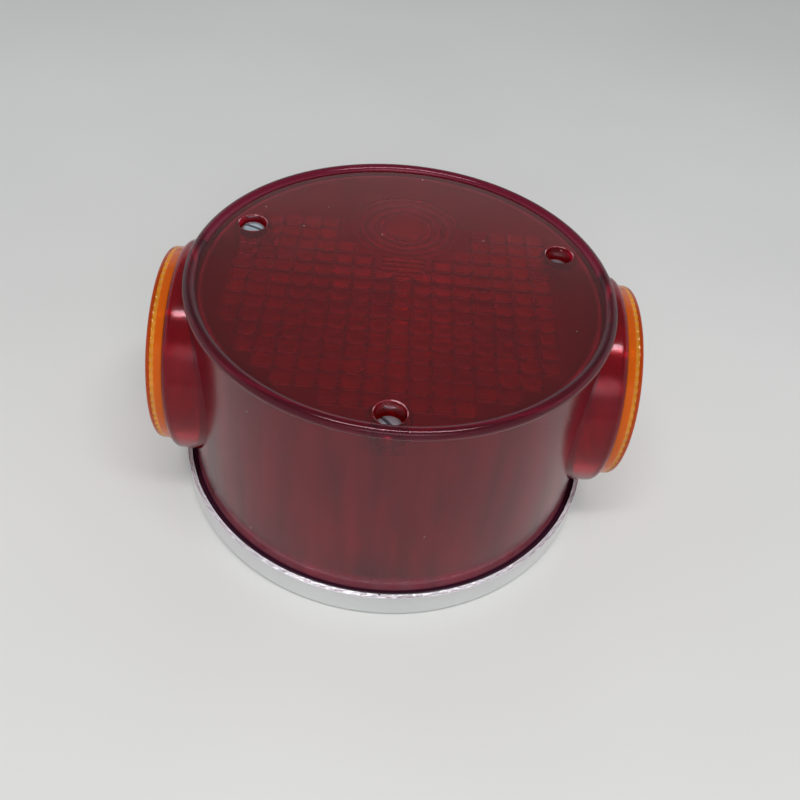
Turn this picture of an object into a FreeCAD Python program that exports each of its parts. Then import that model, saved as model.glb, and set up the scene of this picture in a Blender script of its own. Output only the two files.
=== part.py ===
"""Round motorcycle tail light with two side reflectors, lying on its back.

Frame: origin at the centre of the back (mounting) face, +Z out through the lens face,
+X to the right-hand reflector, -Y to the top of the lamp as it hangs on the motorcycle,
+Y to its number-plate side. All lengths are in millimetres.
"""
import FreeCAD, Part
import math
import os

# ---------------------------------------------------------------- driving dimensions
rim_radius = 60.0                 # outermost radius of the rounded rim of the lens
bead_radius = 1.8                 # radius of that rim's round section
bead_height = 70.0                # height of the middle of the bead
lens_wall = 2.4                   # moulded wall thickness
face_top = 70.5                   # outer surface of the lens face, sunk inside the bead
face_thickness = 2.6
wall_top_radius = 58.4            # outer side wall just below the bead
wall_foot_radius = 61.0           # outer side wall where it meets the flange
flange_radius = 62.4
flange_top = 7.0
flange_bottom = 3.7
inner_corner = 2.0                # inside corner radius between wall and face
face_part_radius = 56.0           # where the face is divided from the wall, just inside it

pan_radius = 64.0
pan_height = 8.6
pan_sheet = 1.2                   # thickness of its floor
pan_wall = 1.4                    # thickness of its rim
pan_corner = 1.4                  # outer bend radius of the pan
pan_floor_lift = 2.0              # the middle of the floor is pressed up by this much
pan_lift_radius = 44.0            # edge of the pressed-up middle
pan_lift_slope = 1.2              # radial length of the sloping step
pan_lift_draw = 0.4               # how much wider that step is on the inside of the floor

boss_height = 39.0                # height of the side bosses' axis
boss_root_radius = 31.4
boss_root_x = 40.0                # where the boss starts, inside the lens
boss_radius = 31.2                # where its rounded edge starts
boss_edge = 2.2                   # radius of that rounded edge
boss_bore_radius = 27.2           # recess behind the reflector
boss_end_x = 63.0

reflector_radius = 29.0
reflector_face_radius = 28.6
reflector_end_x = 67.6
reflector_edge = 0.8              # rounded outer edge
reflector_face = 2.0              # thickness of its outer plate
reflector_skirt = 3.7
spigot_length = 1.2
spigot_play = 0.1

screw_circle = 50.0               # radius of the circle through the three lens screws
screw_circle_y = -2.3             # its centre
screw_circle_turn = -1.35         # degrees that the three screws are turned about the lamp's axis
screw_angles = {"front": -90.0, "right": 25.2, "left": 154.8}
screw_stand_off = {"front": 0.0, "right": 0.4, "left": 2.6}   # not every screw is driven home
screw_slot_angles = {"front": -50.0, "right": -35.0, "left": -22.0}
screw_radius = 2.0                # M4
screw_length = 46.0
screw_tip = 0.6
screw_head_radius = 3.5
screw_head_height = 2.5
screw_slot_width = 1.0
screw_slot_depth = 1.1
screw_crown = 0.9                 # height of the rounded edge of the head
well_radius = 4.25
well_depth = 7.3
well_wall = 1.6
well_floor = 2.2
lens_hole_radius = 2.3
washer_thickness = 0.8
washer_radius = 3.9
thread_play = 0.05                # radial clearance of a screw in its plain bore

post_radius = 3.3
post_top = 31.0
post_shank_radius = 2.6
post_bore_bottom = 5.2

window_half_width = 23.0
window_bottom = 14.0
window_top = 32.0
window_play = 0.1

bulb_y = 26.5                     # bulb and bull's-eye axis, towards the number plate
eye_radius = 7.0                  # inner edge of the first ring of the bull's eye
eye_ring_count = 3
eye_ring_pitch = 3.0
bar_count = 4                     # short bars beside the bull's eye
bar_pitch = 2.2
bar_length = 11.0
bar_y = 10.8
optic_height = 0.7                # how far rings and bars stand in from the face

mount_spacing = 48.0
mount_y = -8.0
mount_hole_radius = 3.0           # M6
nut_across_flats = 10.0
nut_height = 5.0

grommet_y = -27.0
grommet_hole_radius = 5.5
grommet_flange_radius = 8.0
grommet_bore_radius = 3.4
grommet_flange = 1.5

socket_bore_radius = 7.75
socket_sheet = 0.6
socket_top = 25.0
socket_ear_x = 13.0
socket_ear_radius = 4.5
socket_foot_radius = 9.4
socket_lip = 0.5                  # how far the mouth of the shell is rolled out
socket_lip_height = 0.8
rivet_radius = 1.6
rivet_head_radius = 2.8
rivet_head_height = 1.0

carrier_radius = 7.6
carrier_bottom = 9.0
carrier_thickness = 2.6
stud_radius = 1.6
stud_head_radius = 2.1
stud_offset = 3.2
stud_proud = 0.8
stud_tail = 0.6
spring_wire = 0.6
spring_coil_radius = 6.2
spring_turns = 3.0
spring_runs_per_turn = 16
socket_base_thickness = 1.6
socket_base_hole = 2.0
plunge = 2.2                      # travel of the sprung contacts

bulb_length = 49.0
cap_radius = 7.5
cap_sheet = 0.4
cap_length = 13.0
cap_start = 2.0                   # from the tips of the bottom contacts to the cap
cap_flare = 0.5
cap_flare_height = 0.8
pin_radius = 1.0
pin_reach = 8.6                   # from the bulb's axis to the end of a pin
low_pin = 6.2                     # heights of the two pins above the contact tips
high_pin = 9.2
bulb_turn = 20.0                  # degrees from locked to the entry slot
slot_play = 0.25
glass_radius = 12.5
glass_sheet = 0.7
glass_neck_radius = 6.9
neck_length = 3.0                 # of the glass inside the cap
insulator_drop = 1.0              # from the contact tips to the black glass
insulator_core = 2.4              # height of the black glass inside the cap
solder_radius = 1.9
solder_height = 1.0
solder_root_radius = 1.2
solder_root_height = 1.8
stem_radius = 2.4
stem_foot_radius = 5.2
stem_height = 12.0
stem_dome = 2.2
support_start = 7.0               # height above the cap where the support wires leave the stem
support_rise = 9.0                # from there to their knees
support_spread = 1.2
wire_radius = 0.35
filament_half = 3.4
filament_drops = {"brake": 12.5, "tail": 17.0}       # below the top of the glass
filament_offsets = {"brake": 1.6, "tail": -1.6}
filament_radii = {"brake": 0.45, "tail": 0.3}

earth_x = -24.0
earth_y = 14.0
earth_sheet = 0.8
earth_half_width = 3.2
earth_foot = (-3.5, 8.0)          # ends of its foot, from the rivet
earth_blade_height = 10.0

# ---------------------------------------------------------------- worked-out places
face_bottom = face_top - face_thickness
pan_floor_top = pan_floor_lift + pan_sheet
screw_seat = face_top - well_depth
boss_rounding_x = boss_end_x - boss_edge
contact_top = carrier_bottom + carrier_thickness + stud_proud
cap_bottom = contact_top + cap_start
cap_top = cap_bottom + cap_length
glass_top = contact_top + bulb_length
glass_low = cap_top - neck_length
solder_root_top = contact_top + solder_root_height
Z_AXIS = FreeCAD.Vector(0, 0, 1)
Y_AXIS = FreeCAD.Vector(0, 1, 0)


# ---------------------------------------------------------------- shape helpers
def point(x, y, z):
    return FreeCAD.Vector(x, y, z)


def rod(radius, low, high, x=0.0, y=0.0):
    """Upright cylinder."""
    return Part.makeCylinder(radius, high - low, point(x, y, low))


def rod_along_x(radius, x_from, x_to, y=0.0, z=0.0):
    return Part.makeCylinder(radius, x_to - x_from, point(x_from, y, z), point(1, 0, 0))


def ring(outer, inner, low, high, x=0.0, y=0.0):
    return rod(outer, low, high, x, y).cut(rod(inner, low - 1, high + 1, x, y))


def block(x_from, x_to, y_from, y_to, z_from, z_to):
    return Part.makeBox(x_to - x_from, y_to - y_from, z_to - z_from, point(x_from, y_from, z_from))


def revolved(start, steps, x=0.0, y=0.0):
    """Solid of revolution about an upright axis.

    start is (radius, height); each step is one point for a straight run, or a middle
    point and an end point for an arc.
    """
    edges = []
    here = point(start[0], 0, start[1])
    for step in steps:
        ends = [point(radius, 0, height) for radius, height in step]
        if len(ends) == 1:
            edges.append(Part.makeLine(here, ends[0]))
        else:
            edges.append(Part.Arc(here, ends[0], ends[1]).toShape())
        here = ends[-1]
    solid = Part.Face(Part.Wire(edges)).revolve(point(0, 0, 0), Z_AXIS, 360)
    solid.translate(point(x, y, 0))
    return solid


def dome(radius, low, rise):
    """Middle and end point of a ball-shaped crown that starts at (radius, low)."""
    ball = (radius ** 2 + rise ** 2) / (2 * rise)
    half_angle = math.asin(radius / ball) / 2
    centre = low + rise - ball
    middle = (ball * math.sin(half_angle), centre + ball * math.cos(half_angle))
    return [middle, (0, low + rise)]


def quarter(radius, low, size):
    """Middle and end point of a quarter circle that rounds a top corner inwards."""
    slant = size * math.sqrt(0.5)
    return [(radius - size + slant, low + slant), (radius - size, low + size)]


def turned_about(shape, degrees, x=0.0, y=0.0):
    copy = shape.copy()
    copy.rotate(point(x, y, 0), Z_AXIS, degrees)
    return copy


def laid_along_x(shape):
    """Turns an upright shape so that its +Z points to +X, on the bosses' axis."""
    copy = shape.copy()
    copy.rotate(point(0, 0, 0), Y_AXIS, 90)
    copy.translate(point(0, 0, boss_height))
    return copy


def mirrored_in_x(shape):
    return shape.mirror(point(0, 0, 0), point(1, 0, 0))


def fused(shapes):
    return shapes[0].multiFuse(shapes[1:]).removeSplitter()


def save(name, solids):
    """Write one node; several separate solids share it as a compound."""
    shape = solids[0] if len(solids) == 1 else Part.makeCompound(solids)
    shape.exportStep(os.path.join("parts", name + ".step"))


def screw_place(side):
    angle = math.radians(screw_angles[side])
    x = screw_circle * math.cos(angle)
    y = screw_circle_y + screw_circle * math.sin(angle)
    turn = math.radians(screw_circle_turn)
    return x * math.cos(turn) - y * math.sin(turn), x * math.sin(turn) + y * math.cos(turn)


def wall_radius(height):
    """Outer radius of the drafted side wall at a height."""
    share = (height - flange_top) / (bead_height - bead_radius - flange_top)
    return wall_foot_radius + share * (wall_top_radius - wall_foot_radius)


# ---------------------------------------------------------------- lens
def lens_cavity():
    """The space inside the lens shell."""
    top = face_bottom
    corner = inner_corner
    inner_foot = wall_radius(flange_bottom) - lens_wall
    inner_top = wall_radius(top - corner) - lens_wall
    slant = corner * math.sqrt(0.5)
    return revolved((0, flange_bottom - 1), [
        [(inner_foot, flange_bottom - 1)],
        [(inner_foot, flange_bottom)],
        [(inner_top, top - corner)],
        [(inner_top - corner + slant, top - corner + slant), (inner_top - corner, top)],
        [(0, top)],
        [(0, flange_bottom - 1)]])


def lens_outside():
    """Solid bounded by the outer skin: flange, drafted wall, bead and sunken face."""
    bead_centre = rim_radius - bead_radius
    reach = wall_top_radius - bead_centre
    wall_end = bead_height - math.sqrt(bead_radius ** 2 - reach ** 2)
    drop = face_top - bead_height
    face_edge = bead_centre - math.sqrt(bead_radius ** 2 - drop ** 2)
    slant = bead_radius * math.sqrt(0.5)
    return revolved((0, flange_bottom), [
        [(flange_radius, flange_bottom)],
        [(flange_radius, flange_top)],
        [(wall_foot_radius, flange_top)],
        [(wall_top_radius, wall_end)],
        [(bead_centre + slant, bead_height + slant), (face_edge, face_top)],
        [(0, face_top)],
        [(0, flange_bottom)]])


def boss():
    """Right-hand side boss: a ring with a rounded outer edge that grows out of the side wall."""
    whole = laid_along_x(revolved((boss_bore_radius, boss_root_x), [
        [(boss_root_radius, boss_root_x)],
        [(boss_radius, boss_rounding_x)],
        quarter(boss_radius, boss_rounding_x, boss_edge),
        [(boss_bore_radius, boss_end_x)],
        [(boss_bore_radius, boss_root_x)]]))
    return whole.cut(lens_outside())


def window_band(play):
    """Piece of the side wall on the number-plate side, grown by the play."""
    low = window_bottom - play
    high = window_top + play
    band = revolved((wall_radius(low) - lens_wall, low), [
        [(wall_radius(low), low)],
        [(wall_radius(high), high)],
        [(wall_radius(high) - lens_wall, high)],
        [(wall_radius(low) - lens_wall, low)]])
    half = window_half_width + play
    return band.common(block(-half, half, 0, rim_radius + 10, low - 1, high + 1))


def lens_moulding():
    """Flange, side wall, rim, face, screw wells and optics; the side bosses grow on its wall."""
    parts = [lens_outside().cut(lens_cavity())]
    for side in screw_angles:
        x, y = screw_place(side)
        parts.append(rod(well_radius + well_wall, screw_seat - well_floor, face_top, x, y))
    optic_bottom = face_bottom - optic_height
    for number in range(eye_ring_count):
        inner = eye_radius + number * eye_ring_pitch
        parts.append(ring(inner + eye_ring_pitch / 2, inner, optic_bottom, face_bottom, 0, bulb_y))
    for number in range(bar_count):
        y = bar_y - number * bar_pitch
        parts.append(block(-bar_length / 2, bar_length / 2, y - bar_pitch / 4, y + bar_pitch / 4,
                           optic_bottom, face_bottom))
    shell = fused(parts)
    for side in screw_angles:
        x, y = screw_place(side)
        shell = shell.cut(rod(well_radius, screw_seat, face_top + bead_radius, x, y))
        shell = shell.cut(rod(lens_hole_radius, screw_seat - well_floor - 1, screw_seat + 1, x, y))
    return shell.cut(window_band(window_play))


def save_lens():
    """The lens is one moulding, written as its wall, its face and its two bosses."""
    moulding = lens_moulding()
    face_part = rod(face_part_radius, screw_seat - well_floor - 1, face_top + bead_radius)
    save("lens_shell", [moulding.cut(face_part)])
    save("lens_face", [moulding.common(face_part)])
    save("boss_right", [boss()])
    save("boss_left", [mirrored_in_x(boss())])


def reflector():
    """Right-hand amber reflector: a cap with a plate, a skirt and a locating spigot."""
    spigot_radius = boss_bore_radius - spigot_play
    spigot_end = boss_end_x - spigot_length
    hollow_radius = reflector_radius - reflector_skirt
    hollow_end = reflector_end_x - reflector_face
    rounding = reflector_end_x - reflector_edge
    return laid_along_x(revolved((hollow_radius, spigot_end), [
        [(spigot_radius, spigot_end)],
        [(spigot_radius, boss_end_x)],
        [(reflector_radius, boss_end_x)],
        [(reflector_face_radius, rounding)],
        quarter(reflector_face_radius, rounding, reflector_edge),
        [(0, reflector_end_x)],
        [(0, hollow_end)],
        [(hollow_radius, hollow_end)],
        [(hollow_radius, spigot_end)]]))


def lens_screw(side):
    x, y = screw_place(side)
    seat = screw_seat + washer_thickness + screw_stand_off[side]
    tip = seat - screw_length
    head_top = seat + screw_head_height
    solid = revolved((0, tip), [
        [(screw_radius - screw_tip, tip)],
        [(screw_radius, tip + screw_tip)],
        [(screw_radius, seat)],
        [(screw_head_radius, seat)],
        [(screw_head_radius, head_top - screw_crown)],
        quarter(screw_head_radius, head_top - screw_crown, screw_crown),
        [(0, head_top)],
        [(0, tip)]], x, y)
    slot = block(x - 2 * screw_head_radius, x + 2 * screw_head_radius,
                 y - screw_slot_width / 2, y + screw_slot_width / 2,
                 head_top - screw_slot_depth, head_top + 1)
    return solid.cut(turned_about(slot, screw_slot_angles[side], x, y))


def screw_washer(side):
    x, y = screw_place(side)
    return ring(washer_radius, lens_hole_radius, screw_seat, screw_seat + washer_thickness, x, y)


# ---------------------------------------------------------------- base
def base_pan():
    low = pan_floor_lift
    edge = pan_lift_radius
    outer_edge = edge + pan_lift_slope
    bend = pan_corner
    slant = bend * (1 - math.sqrt(0.5))
    inner = pan_radius - pan_wall
    pan = revolved((0, low), [
        [(edge, low)],
        [(outer_edge, 0)],
        [(pan_radius - bend, 0)],
        [(pan_radius - slant, slant), (pan_radius, bend)],
        [(pan_radius, pan_height)],
        [(inner, pan_height)],
        [(inner, pan_sheet)],
        [(outer_edge + pan_lift_draw, pan_sheet)],
        [(edge + pan_lift_draw, pan_floor_top)],
        [(0, pan_floor_top)],
        [(0, low)]])
    holes = [rod(grommet_hole_radius, -1, 5, 0, grommet_y), rod(rivet_radius, -1, 5, earth_x, earth_y)]
    for side in screw_angles:
        x, y = screw_place(side)
        holes.append(rod(post_shank_radius, -1, 5, x, y))
    for sign in (-1, 1):
        holes.append(rod(mount_hole_radius + 0.3, -1, 5, sign * mount_spacing / 2, mount_y))
        holes.append(rod(rivet_radius, -1, 5, sign * socket_ear_x, bulb_y))
    return pan.cut(holes)


def lens_gasket():
    return ring(flange_radius, wall_radius(flange_bottom) - lens_wall, pan_sheet, flange_bottom)


def screw_post(side):
    """Round steel spacer riveted into the pan, tapped for the lens screw."""
    x, y = screw_place(side)
    post = rod(post_radius, pan_sheet, post_top, x, y)
    shank = rod(post_shank_radius, 0, pan_sheet, x, y)
    bore = rod(screw_radius + thread_play, post_bore_bottom, post_top + 1, x, y)
    return post.fuse(shank).cut(bore).removeSplitter()


def mounting_nut(sign):
    x = sign * mount_spacing / 2
    corner = nut_across_flats / math.sqrt(3)
    corners = []
    for number in range(7):
        angle = math.radians(60 * number)
        corners.append(point(x + corner * math.cos(angle), mount_y + corner * math.sin(angle),
                             pan_floor_top))
    nut = Part.Face(Part.makePolygon(corners)).extrude(point(0, 0, nut_height))
    return nut.cut(rod(mount_hole_radius, 0, 20, x, mount_y))


def wire_grommet():
    low = pan_floor_lift - grommet_flange
    high = pan_floor_top + grommet_flange
    edge = grommet_flange_radius
    bore = grommet_bore_radius
    neck = grommet_hole_radius
    return revolved((bore, low), [
        [(edge - 1, low)],
        [(edge, pan_floor_lift - 0.5)],
        [(edge, pan_floor_lift)],
        [(neck, pan_floor_lift)],
        [(neck, pan_floor_top)],
        [(edge, pan_floor_top)],
        [(edge, pan_floor_top + 0.5)],
        [(edge - 1, high)],
        [(bore, high)],
        [(bore, low)]], 0, grommet_y)


def rivet(x, y, grip):
    """Round-headed rivet through the pan floor; grip is the sheet stacked above the floor."""
    low = pan_floor_lift
    high = pan_floor_top + grip
    top_head = revolved((0, high), [
        [(rivet_head_radius, high)],
        dome(rivet_head_radius, high, rivet_head_height),
        [(0, high)]], x, y)
    shank = rod(rivet_radius, low, high, x, y)
    tail = rod(rivet_head_radius * 0.9, low - rivet_head_height, low, x, y)
    return fused([top_head, shank, tail])


def earth_tab():
    """Flat spade terminal that stands up beside its rivet."""
    start, end = earth_foot
    low_y = earth_y - earth_half_width
    high_y = earth_y + earth_half_width
    foot = block(earth_x + start, earth_x + end, low_y, high_y,
                 pan_floor_top, pan_floor_top + earth_sheet)
    blade = block(earth_x + end - earth_sheet, earth_x + end, low_y, high_y,
                  pan_floor_top, pan_floor_top + earth_blade_height)
    hole = rod(rivet_radius, 0, pan_floor_top + earth_blade_height, earth_x, earth_y)
    return foot.fuse(blade).cut(hole).removeSplitter()


# ---------------------------------------------------------------- bulb holder
def socket_slot(pin_height, facing):
    """Space swept by one bayonet pin: the entry slot and the level run."""
    half = pin_radius + slot_play
    low = pin_height - half - plunge
    high = pin_height + half
    outer = socket_bore_radius + socket_sheet + 1
    inner = socket_bore_radius - 1
    band = ring(outer, inner, low, high, 0, bulb_y)
    margin = math.degrees(half / socket_bore_radius)
    sector = Part.makeCylinder(outer + 1, high - low + 2, point(0, bulb_y, low - 1), Z_AXIS,
                               bulb_turn + 2 * margin)
    run = band.common(turned_about(sector, facing - margin, 0, bulb_y))
    entry = block(0, outer + 1, bulb_y - half, bulb_y + half, low, socket_top + 1)
    entry = entry.cut(rod(inner, low - 1, socket_top + 2, 0, bulb_y))
    return run.fuse(turned_about(entry, facing + bulb_turn, 0, bulb_y))


def socket_shell():
    outer = socket_bore_radius + socket_sheet
    tube = rod(outer, pan_floor_top, socket_top, 0, bulb_y)
    lip = ring(outer + socket_lip, socket_bore_radius, socket_top - socket_lip_height, socket_top,
               0, bulb_y)
    foot_top = pan_floor_top + socket_sheet
    foot = [rod(socket_foot_radius, pan_floor_top, foot_top, 0, bulb_y)]
    foot.append(block(-socket_ear_x, socket_ear_x, bulb_y - socket_ear_radius,
                      bulb_y + socket_ear_radius, pan_floor_top, foot_top))
    for sign in (-1, 1):
        foot.append(rod(socket_ear_radius, pan_floor_top, foot_top, sign * socket_ear_x, bulb_y))
    shell = fused([tube, lip] + foot).cut(rod(socket_bore_radius, 0, socket_top + 1, 0, bulb_y))
    for sign in (-1, 1):
        shell = shell.cut(rod(rivet_radius, 0, 10, sign * socket_ear_x, bulb_y))
    shell = shell.cut(socket_slot(contact_top + low_pin, 0))
    return shell.cut(socket_slot(contact_top + high_pin, 180))


def socket_base():
    """Fixed insulating disc at the bottom of the shell."""
    return ring(socket_bore_radius, socket_base_hole, pan_floor_top,
                pan_floor_top + socket_base_thickness, 0, bulb_y)


def socket_spring():
    """Coil spring between the fixed disc and the contact carrier, bent in short straight runs."""
    low = pan_floor_top + socket_base_thickness + spring_wire / 2
    high = carrier_bottom - spring_wire / 2
    run_count = round(spring_turns * spring_runs_per_turn)
    turns = []
    for number in range(run_count + 1):
        angle = 2 * math.pi * number / spring_runs_per_turn
        turns.append(point(spring_coil_radius * math.cos(angle),
                           bulb_y + spring_coil_radius * math.sin(angle),
                           low + (high - low) * number / run_count))
    runs = [Part.makeLine(start, end) for start, end in zip(turns, turns[1:])]
    section = Part.Wire([Part.makeCircle(spring_wire / 2, turns[0], turns[1].sub(turns[0]))])
    square_corners = 1
    return Part.Wire(runs).makePipeShell([section], True, False, square_corners)


def contact_carrier():
    """Sliding insulator that holds the two contact studs."""
    disc = rod(carrier_radius, carrier_bottom, carrier_bottom + carrier_thickness, 0, bulb_y)
    for sign in (-1, 1):
        disc = disc.cut(rod(stud_radius, 0, 20, 0, bulb_y + sign * stud_offset))
    return disc


def contact_stud(sign):
    shank_top = carrier_bottom + carrier_thickness
    y = bulb_y + sign * stud_offset
    stud = rod(stud_radius, carrier_bottom - stud_tail, shank_top, 0, y)
    return stud.fuse(rod(stud_head_radius, shank_top, contact_top, 0, y)).removeSplitter()


# ---------------------------------------------------------------- bulb
def bulb_cap():
    shell = ring(cap_radius, cap_radius - cap_sheet, cap_bottom, cap_top, 0, bulb_y)
    flare = ring(cap_radius + cap_flare, cap_radius - cap_sheet, cap_top,
                 cap_top + cap_flare_height, 0, bulb_y)
    for height, facing in ((low_pin, 1), (high_pin, -1)):
        hole = rod_along_x(pin_radius, 0, cap_radius + 1, 0, contact_top + height)
        hole = hole if facing == 1 else mirrored_in_x(hole)
        hole.translate(point(0, bulb_y, 0))
        shell = shell.cut(hole)
    return shell.fuse(flare).removeSplitter()


def bulb_pin(height, facing):
    pin = rod_along_x(pin_radius, cap_radius - cap_sheet, pin_reach, 0, contact_top + height)
    pin = pin if facing == 1 else mirrored_in_x(pin)
    pin.translate(point(0, bulb_y, 0))
    return pin


def bulb_insulator():
    radius = cap_radius - cap_sheet
    low = contact_top + insulator_drop
    high = cap_bottom + insulator_core
    disc = revolved((0, low), [
        [(radius - 1.6, low)],
        [(radius, cap_bottom)],
        [(radius, high)],
        [(0, high)],
        [(0, low)]], 0, bulb_y)
    for sign in (-1, 1):
        disc = disc.cut(rod(solder_root_radius, low - 1, solder_root_top, 0,
                            bulb_y + sign * stud_offset))
    return disc


def bulb_contact(sign):
    """Solder bump on the bottom of the bulb, with its root in the black glass."""
    low = contact_top
    slant = solder_height * math.sqrt(0.5)
    return revolved((0, low), [
        [(solder_radius - solder_height, low)],
        [(solder_radius - solder_height + slant, low + solder_height - slant),
         (solder_radius, low + solder_height)],
        [(solder_root_radius, low + solder_height)],
        [(solder_root_radius, solder_root_top)],
        [(0, solder_root_top)],
        [(0, low)]], 0, bulb_y + sign * stud_offset)


def glass_outline(inset):
    """Closed bulb outline, moved inwards by the inset, from the neck up to the crown."""
    neck = glass_neck_radius - inset
    belly = glass_radius - inset
    low = glass_low + inset
    centre = glass_top - glass_radius
    shoulder = (neck + belly) / 2
    return revolved((0, low), [
        [(neck, low)],
        [(neck, cap_top + 1.5)],
        [(shoulder - 0.6, cap_top + 6.0), (shoulder + 1.4, cap_top + 10.0)],
        [(belly - 0.35, centre - 4.0), (belly, centre)],
        [(belly * math.sqrt(0.5), centre + belly * math.sqrt(0.5)), (0, centre + belly)],
        [(0, low)]], 0, bulb_y)


def bulb_glass():
    return glass_outline(0.0).cut(glass_outline(glass_sheet))


def bulb_stem():
    """Pinched glass mount that carries the support wires."""
    low = glass_low + glass_sheet
    high = low + stem_height
    return revolved((0, low), [
        [(stem_foot_radius, low)],
        [(stem_radius + 0.6, low + 2.5), (stem_radius, low + 6.0)],
        [(stem_radius, high)],
        dome(stem_radius, high, stem_dome),
        [(0, low)]], 0, bulb_y)


def support_wire(kind, sign):
    """Upright wire from the stem to one end of a filament."""
    start = cap_top + support_start
    offset = filament_offsets[kind]
    foot = point(sign * support_spread, bulb_y + offset / 2, start)
    knee = point(sign * filament_half, bulb_y + offset, start + support_rise)
    head = point(sign * filament_half, bulb_y + offset, glass_top - filament_drops[kind] + wire_radius)
    lean = knee.sub(foot)
    lower = Part.makeCylinder(wire_radius, lean.Length, foot, lean)
    joint = Part.makeSphere(wire_radius, knee)
    upper = Part.makeCylinder(wire_radius, head.sub(knee).Length, knee, Z_AXIS)
    return fused([lower, joint, upper])


def filament(kind):
    """Coiled tungsten wire as the plain rod that bounds its coil."""
    reach = filament_half - wire_radius
    return rod_along_x(filament_radii[kind], -reach, reach, bulb_y + filament_offsets[kind],
                       glass_top - filament_drops[kind])


# ---------------------------------------------------------------- write the nodes
def main():
    os.makedirs("parts", exist_ok=True)
    both = (-1, 1)
    kinds = ("brake", "tail")
    save_lens()
    save("plate_window", [window_band(0.0)])
    save("reflector_right", [reflector()])
    save("reflector_left", [mirrored_in_x(reflector())])
    for side in screw_angles:
        save("screw_" + side, [lens_screw(side)])
    save("screw_washers", [screw_washer(side) for side in screw_angles])
    save("base_pan", [base_pan()])
    save("lens_gasket", [lens_gasket()])
    save("screw_posts", [screw_post(side) for side in screw_angles])
    save("mounting_nuts", [mounting_nut(sign) for sign in both])
    save("wire_grommet", [wire_grommet()])
    save("earth_tab", [earth_tab()])
    save("earth_rivet", [rivet(earth_x, earth_y, earth_sheet)])
    save("socket_shell", [socket_shell()])
    save("socket_rivets", [rivet(sign * socket_ear_x, bulb_y, socket_sheet) for sign in both])
    save("socket_base", [socket_base()])
    save("socket_spring", [socket_spring()])
    save("contact_carrier", [contact_carrier()])
    save("contact_studs", [contact_stud(sign) for sign in both])
    save("bulb_cap", [bulb_cap()])
    save("bulb_pins", [bulb_pin(low_pin, 1), bulb_pin(high_pin, -1)])
    save("bulb_insulator", [bulb_insulator()])
    save("bulb_contacts", [bulb_contact(sign) for sign in both])
    save("bulb_glass", [bulb_glass()])
    save("bulb_stem", [bulb_stem()])
    wires = [support_wire(kind, sign) for kind in kinds for sign in both]
    save("bulb_supports", [wire.cut(bulb_stem()) for wire in wires])
    save("brake_filament", [filament("brake")])
    save("tail_filament", [filament("tail")])


main()
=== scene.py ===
"""Looks of a round motorcycle tail light that lies on its back on a pale floor.

Lengths in the shape functions are millimetres and are turned into metres when a mesh is made.
"""
import math

import bmesh
import bpy
from mathutils import Matrix, Vector, noise as ripple


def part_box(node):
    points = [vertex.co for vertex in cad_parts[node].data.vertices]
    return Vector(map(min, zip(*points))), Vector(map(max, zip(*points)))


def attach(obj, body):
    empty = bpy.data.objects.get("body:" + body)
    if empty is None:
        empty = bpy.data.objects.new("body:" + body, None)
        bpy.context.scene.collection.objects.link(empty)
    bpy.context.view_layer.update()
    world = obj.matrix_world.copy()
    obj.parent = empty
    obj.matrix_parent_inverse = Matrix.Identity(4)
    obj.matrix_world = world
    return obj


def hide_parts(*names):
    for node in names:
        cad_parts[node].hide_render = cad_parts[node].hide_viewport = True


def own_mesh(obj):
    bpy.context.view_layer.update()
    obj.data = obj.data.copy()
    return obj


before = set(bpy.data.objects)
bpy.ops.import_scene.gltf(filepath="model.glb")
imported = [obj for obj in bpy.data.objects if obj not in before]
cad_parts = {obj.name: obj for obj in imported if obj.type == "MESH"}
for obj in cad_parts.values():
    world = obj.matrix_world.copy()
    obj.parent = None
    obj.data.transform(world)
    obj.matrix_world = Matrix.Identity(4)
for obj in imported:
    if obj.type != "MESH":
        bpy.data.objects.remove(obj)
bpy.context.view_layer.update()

MM = 0.001


def span(node):
    """Lowest and highest corner of a CAD node in millimetres."""
    low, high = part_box(node)
    return low / MM, high / MM


def middle_of(node):
    """Middle (x, y) of a CAD node in millimetres."""
    low, high = span(node)
    return (low.x + high.x) / 2, (low.y + high.y) / 2


# ------------------------------------------------------------------ sizes taken from the frame
lens_low, lens_high = span("lens_shell")
boss_high = span("boss_right")[1]
pan_high = span("base_pan")[1]
amber_low, amber_high = span("reflector_right")
window_low, window_high = span("plate_window")
glass_low, glass_high = span("bulb_glass")
spring_low, spring_high = span("socket_spring")
gasket_high = span("lens_gasket")[1]
SCREW_PLACES = {side: middle_of("screw_" + side) for side in ("front", "left", "right")}

bead_radius = 1.8
rim_radius = 60.0
bead_height = lens_high.z - bead_radius
face_top = lens_high.z - 1.3
face_thickness = 2.6
face_bottom = face_top - face_thickness
lens_wall = 2.4
wall_top_radius = 58.4
wall_foot_radius = 61.0
flange_radius = gasket_high.x
flange_bottom = lens_low.z
flange_top = 7.0
boss_height = (amber_low.z + amber_high.z) / 2
boss_root_radius = 31.4
boss_radius = 31.2
boss_edge = 2.2
boss_bore_radius = 27.2
boss_end_x = boss_high.x
bulls_eye_y = (glass_low.y + glass_high.y) / 2
well_radius = 4.05
well_depth = 7.3
well_lip = 0.25
window_play = 0.08
well_wall = 1.6
well_floor = 2.2
lens_hole_radius = 2.3


# ------------------------------------------------------------------ mesh helpers
def arc(centre, radius, start, end, steps):
    """Points (r, z) along an arc; the angles are in degrees."""
    points = []
    for number in range(steps + 1):
        angle = math.radians(start + (end - start) * number / steps)
        points.append((centre[0] + radius * math.cos(angle), centre[1] + radius * math.sin(angle)))
    return points


def line(start, end, steps):
    """Points from just after the start to the end."""
    points = []
    for number in range(1, steps + 1):
        share = number / steps
        points.append((start[0] + (end[0] - start[0]) * share, start[1] + (end[1] - start[1]) * share))
    return points


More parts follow.
